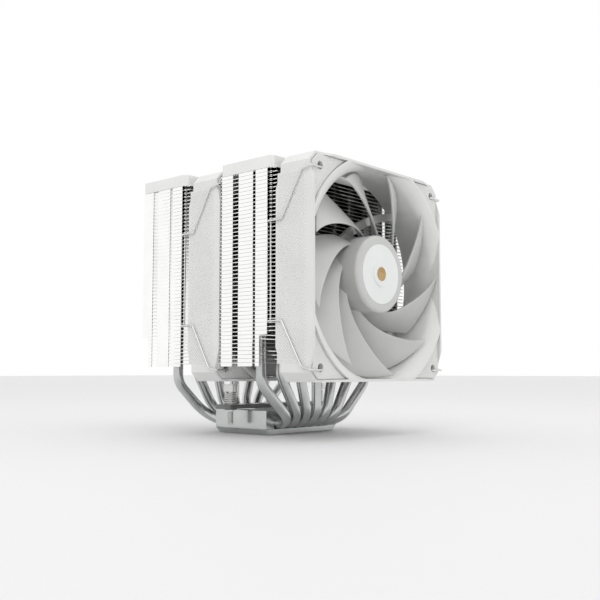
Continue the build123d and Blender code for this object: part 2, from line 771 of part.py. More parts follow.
# ---- spring screws: each has a spring above the crossbar and a retaining ring below it ----
head_bottom = bar_top + spring_length
flange_bottom = head_bottom + screw_head_height - screw_flange_height
head_top = head_bottom + screw_head_height
groove_top = saddle_top - ring_play / 2
groove_bottom = groove_top - ring_thickness - ring_play
shaft_bottom = groove_bottom - ring_shoulder
groove_floor = screw_shaft_radius - ring_groove
for side_name, side in (("left", -1), ("right", 1)):
    screw_plane = Plane(origin=(side * screw_x, 0, 0), x_dir=(1, 0, 0), z_dir=(0, -1, 0))
    screw_axis = Axis((side * screw_x, 0, 0), (0, 0, 1))
    with BuildPart() as spring_screw:
        with BuildSketch(screw_plane):
            with BuildLine():
                Polyline(
                    (0, thread_tip),
                    (thread_radius - thread_chamfer, thread_tip),
                    (thread_radius, thread_tip + thread_chamfer),
                    (thread_radius, shaft_bottom),
                    (screw_shaft_radius, shaft_bottom),
                    (screw_shaft_radius, groove_bottom),
                    (groove_floor, groove_bottom),
                    (groove_floor, groove_top),
                    (screw_shaft_radius, groove_top),
                    (screw_shaft_radius, head_bottom),
                    (screw_head_radius, head_bottom),
                    (screw_head_radius, flange_bottom),
                    (screw_flange_radius, flange_bottom),
                    (screw_flange_radius, head_top),
                    (0, head_top),
                    close=True,
                )
            make_face()
        revolve(axis=screw_axis)
        with BuildSketch(Plane(origin=(side * screw_x, 0, head_top))):
            Rectangle(cross_length, cross_width)
            Rectangle(cross_width, cross_length)
        extrude(amount=-cross_depth, mode=Mode.SUBTRACT)
    spring_screw.part.label = f"{side_name}_spring_screw"
    export_step(spring_screw.part, f"parts/{side_name}_spring_screw.step")

    with BuildPart() as retaining_ring:
        with BuildSketch(Plane(origin=(side * screw_x, 0, groove_bottom + ring_play / 2))):
            Circle(ring_radius)
            Circle(groove_floor + fit_gap, mode=Mode.SUBTRACT)
            with Locations((0, -ring_radius)):
                Rectangle(ring_mouth, 2 * ring_radius, mode=Mode.SUBTRACT)
        extrude(amount=ring_thickness)
    retaining_ring.part.label = f"{side_name}_retaining_ring"
    export_step(retaining_ring.part, f"parts/{side_name}_retaining_ring.step")

    coil_height = spring_length - spring_wire
    with BuildPart() as spring:
        with BuildLine() as coil:
            Helix(
                pitch=coil_height / spring_turns,
                height=coil_height,
                radius=spring_radius,
                center=(side * screw_x, 0, bar_top + spring_wire / 2),
            )
        with BuildSketch(Plane(origin=coil.line @ 0, z_dir=coil.line % 0)):
            Circle(spring_wire / 2)
        sweep(is_frenet=True)
    spring.part.label = f"{side_name}_spring"
    export_step(spring.part, f"parts/{side_name}_spring.step")
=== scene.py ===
# %% [markdown]
# # A tower cooler, dressed for a portrait
#
# This cooler stands on a processor. Heat climbs out of a metal base through bent pipes into two
# stacks of thin fins, and two fans blow air through the stacks. The engineering model is
# loaded first and stays fixed. Everything below gives it finer surfaces and real finishes.

# %% Load the fixed frame
import bmesh
import bpy
import json
import numpy as np
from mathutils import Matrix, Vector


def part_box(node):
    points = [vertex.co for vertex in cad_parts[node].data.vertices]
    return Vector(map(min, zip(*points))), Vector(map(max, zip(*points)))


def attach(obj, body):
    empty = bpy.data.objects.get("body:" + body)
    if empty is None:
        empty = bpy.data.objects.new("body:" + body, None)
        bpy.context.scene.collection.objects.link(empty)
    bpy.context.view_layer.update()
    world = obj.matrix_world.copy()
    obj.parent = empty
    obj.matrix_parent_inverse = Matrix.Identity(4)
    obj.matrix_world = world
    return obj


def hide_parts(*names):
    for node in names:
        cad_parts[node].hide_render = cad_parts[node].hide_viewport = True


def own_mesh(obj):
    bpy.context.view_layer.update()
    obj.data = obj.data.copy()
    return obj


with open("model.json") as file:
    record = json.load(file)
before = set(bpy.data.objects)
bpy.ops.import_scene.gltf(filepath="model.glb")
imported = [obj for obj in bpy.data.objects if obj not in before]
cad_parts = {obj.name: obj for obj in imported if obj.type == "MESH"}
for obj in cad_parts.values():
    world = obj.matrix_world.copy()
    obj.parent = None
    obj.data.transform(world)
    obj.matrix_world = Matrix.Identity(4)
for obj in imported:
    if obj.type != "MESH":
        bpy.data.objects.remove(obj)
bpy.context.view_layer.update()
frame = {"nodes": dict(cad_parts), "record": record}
nodes = frame["nodes"]

# %% [markdown]
# ## Sizes taken from the frame
#
# The engineering model is in metres, but parts this small are easier to think of in millimetres.
# Places come from the boxes of the CAD nodes, so a change there moves the fine surfaces too.

# %% Millimetres, and where the fans stand
MM = 0.001


def box_mm(node):
    """Lowest and highest corner of a CAD node in millimetres, as two arrays."""
    low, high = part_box(node)
    return np.array(low) / MM, np.array(high) / MM


RIM_RISE = 1.6
FANS = {}
for fan in ("front", "mid"):
    frame_low, frame_high = box_mm(f"{fan}_fan_frame")
    FANS[fan] = {
        "pad_y": frame_low[1] + RIM_RISE,
        "z": (frame_low[2] + frame_high[2]) / 2,
        "half": (frame_high[0] - frame_low[0]) / 2,
    }
    print(fan, "fan:", {key: round(float(value), 2) for key, value in FANS[fan].items()})

# %% [markdown]
# ## Small helpers for surfaces
#
# A surface is a grid of points: two parameters go in and whole arrays of points come out. The
# same few lines turn any such grid into a mesh, so each piece below is only its own formula.

# %% Grid surfaces
def grid_faces(rows, columns, wrap_rows=False, wrap_columns=False):
    """Quads between neighbouring points of a grid whose points are counted row by row."""
    row = np.arange(rows if wrap_rows else rows - 1)[:, None]
    column = np.arange(columns if wrap_columns else columns - 1)[None, :]
    next_row = (row + 1) % rows
    next_column = (column + 1) % columns
    corners = [
        row * columns + column,
        row * columns + next_column,
        next_row * columns + next_column,
        next_row * columns + column,
    ]
    return np.stack(np.broadcast_arrays(*corners), axis=-1).reshape(-1, 4)


def mesh_from(name, points, faces, smooth_angle=35):
    """A mesh of points in millimetres: doubles merged, normals outwards, sharp edges kept sharp."""
    mesh = bpy.data.meshes.new(name)
    mesh.from_pydata((np.asarray(points).reshape(-1, 3) * MM).tolist(), [], np.asarray(faces).tolist())
    work = bmesh.new()
    work.from_mesh(mesh)
    bmesh.ops.remove_doubles(work, verts=work.verts, dist=2e-6)
    bmesh.ops.dissolve_degenerate(work, edges=work.edges, dist=1e-6)
    loose = [vertex for vertex in work.verts if not vertex.link_faces]
    bmesh.ops.delete(work, geom=loose, context="VERTS")
    bmesh.ops.recalc_face_normals(work, faces=work.faces)
    work.to_mesh(mesh)
    work.free()
    mesh.shade_smooth()
    mesh.set_sharp_from_angle(angle=np.radians(smooth_angle))
    return mesh


def piece(name, mesh, body, slot, replaced=()):
    """An object at the origin that rides on a body and stands for the CAD nodes it replaces."""
    obj = bpy.data.objects.new(name, mesh)
    bpy.context.scene.collection.objects.link(obj)
    obj.data.materials.clear()
    obj.data.materials.append(MATERIALS[slot])
    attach(obj, body)
    if replaced:
        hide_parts(*replaced)
    return obj


def joined(shells):
    """Several (points, faces) shells as one, with the face numbers shifted to match."""
    points = []
    faces = []
    count = 0
    for shell_points, shell_faces in shells:
        flat = np.asarray(shell_points).reshape(-1, 3)
        points.append(flat)
        faces.append(np.asarray(shell_faces) + count)
        count += len(flat)
    return np.concatenate(points), np.concatenate(faces)


# %% [markdown]
# ## Colours and nodes
#
# A colour is written as the hex value a paint chart would give. Shaders want linear light, so one
# function converts. One more function adds a shader node with its settings and its links.

# %% Colour and node helpers
def linear(hex_colour, alpha=1.0):
    """An sRGB hex colour as linear RGBA: small values scale, larger ones follow a 2.4 power."""
    channels = np.array([int(hex_colour[i : i + 2], 16) for i in (1, 3, 5)]) / 255
    low = channels / 12.92
    high = ((channels + 0.055) / 1.055) ** 2.4
    return (*np.where(channels <= 0.04045, low, high).tolist(), alpha)


def add_node(tree, kind, inputs=None, **settings):
    """A new shader node: settings are its properties, inputs are values or sockets to link."""
    node = tree.nodes.new(kind)
    for key, value in settings.items():
        setattr(node, key, value)
    for key, value in (inputs or {}).items():
        if isinstance(value, bpy.types.NodeSocket):
            tree.links.new(value, node.inputs[key])
        else:
            node.inputs[key].default_value = value
    return node


def grain(tree, size_mm, detail=2.0, stretch=(1, 1, 1)):
    """Noise on Object coordinates whose blotches are about size_mm across, stretched by axis."""
    place = add_node(tree, "ShaderNodeTexCoord").outputs["Object"]
    spread = add_node(tree, "ShaderNodeMapping", {"Vector": place, "Scale": stretch}).outputs["Vector"]
    noise = add_node(
        tree,
        "ShaderNodeTexNoise",
        {"Vector": spread, "Scale": 1 / (size_mm * MM), "Detail": detail},
    )
    return noise.outputs["Fac"]


def bumped(tree, height, depth_mm, strength=1.0):
    """A Bump node that reads a 0 to 1 height as depth_mm of relief."""
    values = {"Height": height, "Distance": depth_mm * MM, "Strength": strength}
    return add_node(tree, "ShaderNodeBump", values).outputs["Normal"]


def tinted(tree, factor, low, high):
    """A colour that runs from low to high as the factor runs over the middle of its range."""
    ramp = add_node(tree, "ShaderNodeValToRGB", {"Fac": factor})
    ramp.color_ramp.elements[0].position = 0.3
    ramp.color_ramp.elements[1].position = 0.7
    ramp.color_ramp.elements[0].color = linear(low)
    ramp.color_ramp.elements[1].color = linear(high)
    return ramp.outputs["Color"]


def ranged(tree, factor, low, high):
    """The factor, 0 to 1, moved to run from low to high."""
    values = {"Value": factor, "To Min": low, "To Max": high}
    return add_node(tree, "ShaderNodeMapRange", values).outputs["Result"]


def new_material(name):
    """An empty material with a Principled shader, returned with its tree and shader."""
    material = bpy.data.materials.new(name)
    material.use_nodes = True
    tree = material.node_tree
    return material, tree, tree.nodes["Principled BSDF"]


MATERIALS = {}

# %% [markdown]
# ## Moulded plastics
#
# The frames and covers are white ABS from a satin mould: soft highlights and a fine even
# grain. The impellers are a glass-filled PBT, a little greyer and smoother. The corner pads are
# a soft moulded elastomer, so they are rougher. Plastic has an IOR near 1.5 and no metal.

# %% Plastics
CLOUD_MM = 14
# Pointiness range over which hollows are darkened as painted shade.
PAINTED_SHADE_START = 0.43
PAINTED_SHADE_END = 0.495


def plastic(slot, name, low, high, roughness, grain_mm, relief_mm, ior, painted_shade_level=1.0):
    """Satin moulded plastic: faint cloudy colour, uneven gloss and a fine mould grain. Hollows
    of the shape get painted shade: at the sharpest, the colour is multiplied by the last factor."""
    material, tree, shader = new_material(name)
    cloud = grain(tree, CLOUD_MM, 2)
    fine = grain(tree, grain_mm, 3)
    # Painted shade: the colour is multiplied down where the surface is concave.
    hollow = add_node(tree, "ShaderNodeNewGeometry").outputs["Pointiness"]
    values = {"Value": hollow, "From Min": PAINTED_SHADE_START, "From Max": PAINTED_SHADE_END, "To Min": painted_shade_level}
    shade = add_node(tree, "ShaderNodeMapRange", values).outputs["Result"]
    factors = {0: tinted(tree, cloud, low, high), 1: shade}
    shaded = add_node(tree, "ShaderNodeVectorMath", factors, operation="MULTIPLY")
    tree.links.new(shaded.outputs["Vector"], shader.inputs["Base Color"])
    tree.links.new(ranged(tree, cloud, roughness - 0.05, roughness + 0.05), shader.inputs["Roughness"])
    tree.links.new(bumped(tree, fine, relief_mm, 0.5), shader.inputs["Normal"])
    shader.inputs["IOR"].default_value = ior
    MATERIALS[slot] = material


# ABS, satin moulded: white with a trace of warmth.
# The frame's hollows get painted shade, down to 0.72 of its colour.
plastic("frame_white", "satin_moulded_abs", "#dddddc", "#e1e1e0", 0.42, 0.35, 0.012, 1.54, 0.72)
plastic("cover_white", "satin_moulded_abs_cover", "#e5e5e4", "#e9e9e8", 0.36, 0.3, 0.01, 1.54)
# Elastomer pads: matter than the frame around them.
# The pads' hollows get painted shade, down to half their colour.
plastic("pad_white", "moulded_elastomer", "#dbdbda", "#dfdfde", 0.6, 0.4, 0.015, 1.5, 0.5)
# PBT impeller: light grey, smooth from a polished mould.
plastic("blade_grey", "smooth_moulded_pbt", "#c5c5c4", "#cacac9", 0.34, 0.5, 0.006, 1.57)
# Lacquered disc in the hub: a cooler, slightly glossier white.
plastic("badge_silver", "pale_lacquered_disc", "#e6e9e7", "#eaedeb", 0.3, 0.5, 0.003, 1.5)
print("plastics:", len(MATERIALS))

# %% [markdown]
# ## Plated and drawn metals
#
# Nickel plating over copper is almost a mirror with a warm grey tint. The fins are stamped from
# plated sheet, so they carry faint rolling lines. Wire and screws are bright steel. A metal's
# colour is its reflection, so only the roughness and the fine marks tell them apart.

# %% Metals
TINT_MM = 9


def metal(slot, name, low, high, smooth, rough, mark_mm, stretch, relief_mm):
    """Bare or plated metal: cloudy tint, roughness that varies and fine marks along one way."""
    material, tree, shader = new_material(name)
    cloud = grain(tree, TINT_MM, 2)
    marks = grain(tree, mark_mm, 2, stretch)
    tree.links.new(tinted(tree, cloud, low, high), shader.inputs["Base Color"])
    tree.links.new(ranged(tree, marks, smooth, rough), shader.inputs["Roughness"])
    tree.links.new(bumped(tree, marks, relief_mm, 0.4), shader.inputs["Normal"])
    shader.inputs["Metallic"].default_value = 1.0
    MATERIALS[slot] = material


# Nickel plate on copper, polished before plating.
metal("nickel_plate", "polished_nickel_plate", "#c4c5c5", "#cecfcf", 0.16, 0.24, 1.2, (1, 1, 1), 0.0008)
# Plated aluminium sheet: rolling lines run along the sheet.
metal("fin_nickel", "plated_aluminium_sheet", "#f9f9f8", "#fdfdfc", 0.07, 0.14, 0.6, (1, 1, 0.1), 0.004)
# Brass cap, polished.
metal("cap_gold", "polished_brass", "#b8996a", "#c2a475", 0.14, 0.24, 0.5, (1, 1, 1), 0.003)
# Steels.
metal("motor_steel", "drawn_motor_steel", "#8f9194", "#9c9ea1", 0.25, 0.4, 0.5, (1, 0.1, 1), 0.004)
metal("wire_steel", "bright_spring_wire", "#dcdcda", "#e4e4e2", 0.26, 0.38, 0.4, (1, 1, 0.1), 0.003)
metal("bar_steel", "dark_nickelled_steel", "#6f6f6f", "#7b7b7a", 0.22, 0.36, 0.6, (0.1, 1, 1), 0.005)
metal("screw_steel", "bright_zinc_plate", "#cfcfcd", "#dadad8", 0.16, 0.3, 0.4, (1, 1, 1), 0.003)
metal("bearing_bronze", "sintered_bronze", "#9a7848", "#a98654", 0.4, 0.55, 0.15, (1, 1, 1), 0.01)
print("plastics and metals:", len(MATERIALS))

# %% [markdown]
# ## What is inside the motor
#
# The magnet is ferrite bonded in rubber, the coils are enamelled wire and the board is coated
# with solder mask. They hide inside the hub but they show when the model is taken apart.

# %% Motor finishes
LACQUER_IOR = 1.5


def coated(slot, name, low, high, roughness, mark_mm, stretch, relief_mm):
    """A dull or lacquered surface with marks of a given size, used for the motor's insides."""
    plastic(slot, name, low, high, roughness, mark_mm, relief_mm, LACQUER_IOR)
    mapping = [n for n in MATERIALS[slot].node_tree.nodes if n.bl_idname == "ShaderNodeMapping"]
    mapping[-1].inputs["Scale"].default_value = stretch


coated("magnet_black", "bonded_ferrite", "#1d1d1e", "#242425", 0.55, 0.2, (1, 1, 1), 0.01)
# Enamelled wire 0.3 mm thick: rings across the coil's length, drawn coarse enough to show.
coated("winding_copper", "enamelled_copper_wire", "#8a4a26", "#a35a30", 0.3, 0.6, (1, 0.02, 1), 0.15)
coated("board_green", "green_solder_mask", "#14492a", "#185432", 0.25, 1.0, (1, 1, 1), 0.01)
print("all finishes:", sorted(MATERIALS))

# %% [markdown]
# ## Give every CAD node its finish
#
# The record says which finish each node takes. Nodes whose shape is already right only need
# their material changed, so that is done for all of them before any is replaced.

# %% Assign finishes
for entry in frame["record"]["subparts"]:
    node_mesh = nodes[entry["node"]].data
    node_mesh.materials.clear()
    node_mesh.materials.append(MATERIALS[entry["material_slot"]])

# %% [markdown]
# ## Softer edges on the plates and mouldings
#
# A real edge is never perfectly sharp: a mould or a deburring wheel rounds it by a few tenths
# of a millimetre, and that thin round catches the light. Each plain part is copied, its flat
# facets are merged into whole faces, and a small bevel runs along every edge that turns sharply.

# %% Rounded copies of the plain parts
ROOT_BODY = "cooler"
FLAT_DEGREES = 0.5
SHARP_DEGREES = 30
BEVEL_DEGREES = 35


def refined(node, body, bevel_mm):
    """A copy of a CAD node whose sharp edges carry a small round; the copy stands for the node."""
    source = nodes[node]
    mesh = source.data.copy()
    mesh.transform(source.matrix_world)
    work = bmesh.new()
    work.from_mesh(mesh)
    bmesh.ops.remove_doubles(work, verts=work.verts, dist=2e-6)
    bmesh.ops.dissolve_limit(
        work,
        angle_limit=np.radians(FLAT_DEGREES),
        verts=work.verts,
        edges=work.edges,
        use_dissolve_boundaries=False,
    )
    work.to_mesh(mesh)
    work.free()
    mesh.shade_smooth()
    mesh.set_sharp_from_angle(angle=np.radians(SHARP_DEGREES))
    entry = next(e for e in frame["record"]["subparts"] if e["node"] == node)
    obj = piece(f"{node}_rounded", mesh, body, entry["material_slot"], [node])
    bevel = obj.modifiers.new("edge_round", "BEVEL")
    bevel.width = bevel_mm * MM
    bevel.segments = 2
    bevel.limit_method = "ANGLE"
    bevel.angle_limit = np.radians(BEVEL_DEGREES)
    bevel.use_clamp_overlap = True
    weighted = obj.modifiers.new("even_shading", "WEIGHTED_NORMAL")
    weighted.keep_sharp = True
    return obj


ROUNDED = {
    "base_block": 0.35,
    "cold_plate": 0.25,
    "crossbar": 0.3,
    "front_fan_frame": 0.3,
    "mid_fan_frame": 0.3,
    "front_fan_pads": 0.25,
    "mid_fan_pads": 0.25,
}
for node, bevel_mm in ROUNDED.items():
    refined(node, ROOT_BODY, bevel_mm)
print("rounded parts:", len(ROUNDED))

# %% [markdown]
# ## Diamond relief on the fans
#
# The frames' side panels and the corner pads are moulded with a fine relief of little pyramids.
# On a square grid, let every other point be a peak: its four neighbours are valleys, so each
# peak becomes a four-sided pyramid. Each square is split along its two valleys. A mask says
# which squares exist, the rim stays low, and walls join it to a back that lies below the panel.

# %% Sheets of small pyramids
GRID_STEP = 0.95
RIM_LIFT = 0.05


def diamond_sheet(across, along, kept, height, sink):
    """Points (u, v, h) and triangles of a closed sheet; kept(u, v) is true where it exists."""
    u, v = np.meshgrid(across, along, indexing="ij")
    inside = kept(u, v)
    cell = inside[:-1, :-1] & inside[1:, :-1] & inside[:-1, 1:] & inside[1:, 1:]
    around = np.pad(cell, 1)
    whole = around[:-1, :-1] & around[1:, :-1] & around[:-1, 1:] & around[1:, 1:]
    parity = np.add.outer(np.arange(u.shape[0]), np.arange(u.shape[1])) % 2
    peak = whole & (parity == 0)
    number = np.arange(u.size).reshape(u.shape)
    a, b, c, d = number[:-1, :-1], number[1:, :-1], number[1:, 1:], number[:-1, 1:]
    even = (parity[:-1, :-1] == 0)[..., None]
    first = np.where(even, np.stack([a, b, d], -1), np.stack([a, b, c], -1))
    second = np.where(even, np.stack([b, c, d], -1), np.stack([a, c, d], -1))
    top = np.concatenate([first[cell], second[cell]])
    edges = np.concatenate([top[:, [0, 1]], top[:, [1, 2]], top[:, [2, 0]]])
    code = edges @ np.array([u.size, 1])
    twin = edges @ np.array([1, u.size])
    start, end = edges[~np.isin(code, twin)].T
    upper_wall = np.stack([end, start, start + u.size], -1)
    lower_wall = np.stack([end, start + u.size, end + u.size], -1)
    faces = np.concatenate([top, top[:, ::-1] + u.size, upper_wall, lower_wall])
    front = np.stack([u, v, RIM_LIFT + height * peak], -1).reshape(-1, 3)
    back = np.stack([u, v, np.full(u.shape, -sink)], -1).reshape(-1, 3)
    return np.concatenate([front, back]), faces


SIDE_DEPTHS = np.arange(3.4, 24.0, GRID_STEP)
SIDE_HEIGHTS = np.arange(-50.4, 50.5, GRID_STEP)
PAD_SPAN = np.arange(36.0, 57.7, GRID_STEP)
PAD_HALF = 58.35
PAD_FACES = ((0.0, -1), (22.8, 1))
PAD_MOUTH_RADIUS = 67.3
PAD_CORNER_CUT = 5.4
HOLE_PLACE = 52.5
HOLE_CLEAR_RADIUS = 3.1
SIDE_PEAK, SIDE_SINK = 0.4, 0.2
PAD_PEAK, PAD_SINK = 0.25, 0.15


def everywhere(u, v):
    """A full rectangle."""
    return np.ones_like(u, dtype=bool)


def on_pad(u, v):
    """Inside a pad's outline with a smooth border: outside the mouth, inside the corner cut."""
    off_mouth = np.hypot(u, v) > PAD_MOUTH_RADIUS
    off_corner = (PAD_HALF - u) + (PAD_HALF - v) > PAD_CORNER_CUT
    off_hole = np.hypot(u - HOLE_PLACE, v - HOLE_PLACE) > HOLE_CLEAR_RADIUS
    return off_mouth & off_corner & off_hole


for fan, place in FANS.items():
    shells = []
    sheet_points, sheet_faces = diamond_sheet(SIDE_DEPTHS, SIDE_HEIGHTS, everywhere, SIDE_PEAK, SIDE_SINK)
    depth, rise, bump = sheet_points.T
    for side in (-1, 1):
        x = side * (place["half"] + bump)
        shells.append((np.stack([x, place["pad_y"] + depth, place["z"] + rise], -1), sheet_faces))
    mesh = mesh_from("side_relief", *joined(shells), 20)
    piece(f"{fan}_side_relief", mesh, ROOT_BODY, "frame_white")
    shells = []
    sheet_points, sheet_faces = diamond_sheet(PAD_SPAN, PAD_SPAN, on_pad, PAD_PEAK, PAD_SINK)
    across, rise, bump = sheet_points.T
    for face_depth, outwards in PAD_FACES:
        for side in (-1, 1):
            for up in (-1, 1):
                y = place["pad_y"] + face_depth + outwards * bump
                z = place["z"] + up * rise
                shells.append((np.stack([side * across, y, z], -1), sheet_faces))
    mesh = mesh_from("pad_relief", *joined(shells), 20)
    piece(f"{fan}_pad_relief", mesh, ROOT_BODY, "pad_white")
print("pyramids on one side panel:", SIDE_DEPTHS.size * SIDE_HEIGHTS.size // 2)

# %% [markdown]
# ## Bent pipes and wires
#
# Pipes, springs and clips are one idea: a round section carried along a line. The line is made
# of straight runs joined by arcs. At each of its points a circle is drawn square to the line,
# and neighbouring circles are joined. Round tips are a few more circles that shrink like a dome.

# %% A line with rounded corners, and a tube along it
def rounded_line(corners, radii, step_degrees=5):
    """Points along straight runs joined by arcs. An arc starts before its corner, at a distance of
    radius * tan(turn / 2)."""
    corners = np.asarray(corners, float)
    line = [corners[:1]]
    for before, corner, after, radius in zip(corners, corners[1:], corners[2:], radii):
        arriving = (corner - before) / np.linalg.norm(corner - before)
        leaving = (after - corner) / np.linalg.norm(after - corner)
        turn = np.arccos(np.clip(arriving @ leaving, -1, 1))
        inward = leaving - arriving * (arriving @ leaving)
        inward /= np.linalg.norm(inward)
        angles = np.linspace(0, turn, int(np.ceil(np.degrees(turn) / step_degrees)) + 1)[:, None]
        start = corner - arriving * radius * np.tan(turn / 2)
        line.append(start + radius * (np.sin(angles) * arriving + (1 - np.cos(angles)) * inward))
    line.append(corners[-1:])
    return np.concatenate(line)


def tube(line, radius, sides, tip, guide):
    """Rings along the line, each centre + size * (cos a * across + sin a * up), closed by a dome
    of height tip at both ends."""
    line = np.asarray(line, float)
    steps = np.diff(line, axis=0)
    steps /= np.linalg.norm(steps, axis=1, keepdims=True)
    tangent = np.concatenate([steps[:1], steps[:-1] + steps[1:], steps[-1:]])
    tangent /= np.linalg.norm(tangent, axis=1, keepdims=True)
    dome = np.radians([90, 70, 50, 30, 15, 0])
    rise = tip * (1 - np.sin(dome))[:, None]
    shrink = radius - tip + tip * np.cos(dome)
    shrink[0] = 0
    count = len(dome)
    centres = [line[0] + steps[0] * rise, line[1:-1], line[-1] - steps[-1] * rise[::-1]]
    directions = [np.repeat(steps[:1], count, 0), tangent[1:-1], np.repeat(steps[-1:], count, 0)]
    centres, directions = np.concatenate(centres), np.concatenate(directions)
    size = np.concatenate([shrink, np.full(len(line) - 2, radius), shrink[::-1]])
    across = np.asarray(guide, float) - directions * (directions @ np.asarray(guide, float))[:, None]
    across /= np.linalg.norm(across, axis=1, keepdims=True)
    up = np.cross(directions, across)
    angle = np.linspace(0, 2 * np.pi, sides, endpoint=False)[None, :, None]
    ring = np.cos(angle) * across[:, None] + np.sin(angle) * up[:, None]
    points = centres[:, None] + size[:, None, None] * ring
    return points, grid_faces(len(centres), sides, wrap_columns=True)


# %% Heat pipes
PIPE_RADIUS = 3.0
KNEE_TOP = 39.2
KNEE_CURVE = 0.0141
UPPER_BEND = 12.0
PIPE_STUB = 1.0
PIPE_SIDES = 40
PIPE_TIP = 2.4
block_low, block_high = box_mm("base_block")
pipe_names = sorted(name for name in nodes if name.startswith("heat_pipe_"))
for name in pipe_names:
    low, high = box_mm(name)
    front_row, rear_row = low[1] + PIPE_RADIUS, high[1] - PIPE_RADIUS
    left, right = low[0] + PIPE_RADIUS, high[0] - PIPE_RADIUS
    tower_x, base_x = (left, right) if left + right < 0 else (right, left)
    spread = abs(tower_x - base_x)
    top, bottom = high[2], low[2] + PIPE_RADIUS
    front_bend = block_low[1] - front_row - PIPE_STUB
    rear_bend = rear_row - block_high[1] - PIPE_STUB
    knee = KNEE_TOP - KNEE_CURVE * spread**2
    corners = [(base_x, front_row, bottom), (base_x, rear_row, bottom)]
    bends = [front_bend, rear_bend]
    if spread > 0.01:
        corners = [(tower_x, front_row, knee), *corners, (tower_x, rear_row, knee)]
        bends = [UPPER_BEND, *bends, UPPER_BEND]
    corners = [(tower_x, front_row, top), *corners, (tower_x, rear_row, top)]
    line = rounded_line(corners, bends)
    points, faces = tube(line, PIPE_RADIUS, PIPE_SIDES, PIPE_TIP, (1, 0, 0))
    piece(f"{name}_smooth", mesh_from(name, points, faces), ROOT_BODY, "nickel_plate", [name])
print("heat pipes:", len(pipe_names), "last one spreads", round(float(spread), 1), "mm")

# %% Wire clips
WIRE_RADIUS = 0.5
WIRE_BEND = 1.15
WIRE_DROP = 1.25
# One half of a clip as (distance from the middle, depth, height), from its hook to its grip.
HALF_CLIP = np.array([
    (51.72, 5.5, 52.5),
    (51.72, -0.8, 52.5),
    (61.1, -0.8, 52.5),
    (61.1, 5.5, 51.0),
    (61.1, 19.6, 26.7),
    (61.1, 29.85, 26.7),
    (58.25, 29.85, 26.7),
])
whole_clip = np.concatenate([HALF_CLIP, (HALF_CLIP * [1, 1, -1])[::-1]])
for fan, place in FANS.items():
    for side_name, side in (("left", -1), ("right", 1)):
        corners = whole_clip * [side, 1, 1] + [0, place["pad_y"], place["z"] - WIRE_DROP]
        line = rounded_line(corners, np.full(len(corners) - 2, WIRE_BEND), 15)
        points, faces = tube(line, WIRE_RADIUS, 16, 0.2, (1, 0.6, 0.8))
        node = f"{fan}_{side_name}_clip"
        mesh = mesh_from(node, points, faces, 60)
        piece(f"{node}_smooth", mesh, f"{fan}_{side_name}_wire", "wire_steel", [node])
print("clip corners:", len(whole_clip))

# %% [markdown]
# ## Springs and screw threads
#
# A compression spring is wound with its first and last turns closed, so its climb is slow at
# both ends and even between. A thread is a helix too: the radius falls and rises once per turn,
# which is a wave that depends on height and angle together. The springs shorten as their
# screws go down.

# %% Springs and threads
SPRING_RADIUS = 3.05
SPRING_WIRE = 0.9
SPRING_TURNS = 5.5
CLOSED_TURNS = 0.75
CLOSED_RISE = 0.7
THREAD_PITCH = 0.5
THREAD_DEPTH = 0.3
THREAD_FOOT = 6.4
THREAD_HEAD = 13.4
THREAD_ROOT = 1.42
THREAD_BORE = 1.2
THREAD_RUN_OUT = 0.3
for side_name in ("left", "right"):
    node = f"{side_name}_spring"
    low, high = box_mm(node)
    screw_low, screw_high = box_mm(f"{side_name}_spring_screw")
    centre_x = (screw_low[0] + screw_high[0]) / 2
    seat = box_mm("crossbar")[1][2]
    climb = high[2] - seat - SPRING_WIRE
    turns = np.linspace(0, SPRING_TURNS, 199)
    turn_marks = [0, CLOSED_TURNS, SPRING_TURNS - CLOSED_TURNS, SPRING_TURNS]
    rise = np.interp(turns, turn_marks, [0, CLOSED_RISE, climb - CLOSED_RISE, climb])
    angle = 2 * np.pi * turns
    line = np.stack([
        centre_x + SPRING_RADIUS * np.cos(angle),
        SPRING_RADIUS * np.sin(angle),
        seat + SPRING_WIRE / 2 + rise,
    ], -1)
    points, faces = tube(line, SPRING_WIRE / 2, 12, 0.1, (0, 0, 1))
    mesh = mesh_from(node, points, faces, 60)
    coil = piece(f"{node}_wound", mesh, ROOT_BODY, "wire_steel", [node])
    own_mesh(coil)
    # The thread is a sleeve round the screw's thin end, from just above its tip to its shoulder.
    height = np.linspace(THREAD_FOOT, THREAD_HEAD, 99)[:, None]
    turn = np.linspace(0, 1, 32, endpoint=False)[None, :]
    wave = np.abs(2 * ((height / THREAD_PITCH - turn) % 1) - 1)
    from_end = np.minimum(height - THREAD_FOOT, THREAD_HEAD - height)
    edge = np.clip(from_end / THREAD_RUN_OUT, 0, 1)
    outer = THREAD_ROOT + (THREAD_DEPTH * wave) * edge
    radius = np.concatenate([outer, np.full_like(outer[:2], THREAD_BORE)])
    level = np.concatenate([height, [[THREAD_HEAD], [THREAD_FOOT]]]) + 0 * turn
    cosine, sine = np.cos(2 * np.pi * turn), np.sin(2 * np.pi * turn)
    points = np.stack([centre_x + radius * cosine, radius * sine, level], -1)
    faces = grid_faces(len(radius), turn.size, wrap_rows=True, wrap_columns=True)
    mesh = mesh_from("thread", points, faces, 25)
    piece(f"{side_name}_thread", mesh, f"{side_name}_screw", "screw_steel")
print("spring climbs", round(float(climb), 2), "mm over", SPRING_TURNS, "turns")

# %% [markdown]
# ## Impellers
#
# Each blade is a lens between two curved edges. Along a radius, the leading and trailing edges
# are cubics in angle and depth, found from the same formula as the engineering model. Around
# the section the thickness rises as a half circle at both edges and thins towards the trailing
# edge. The hub is an outline spun about the fan's axis.

# %% Blades and hubs
BLADE_COUNT = 9
TIP_RADIUS = 57.8
ROOT_RADIUS = 21.3
ZERO_RADIUS = 58.0
HUB_RADIUS = 22.0
THICKNESS = 1.5
EDGE_CHORD = 0.02
TIP_START = 57.0
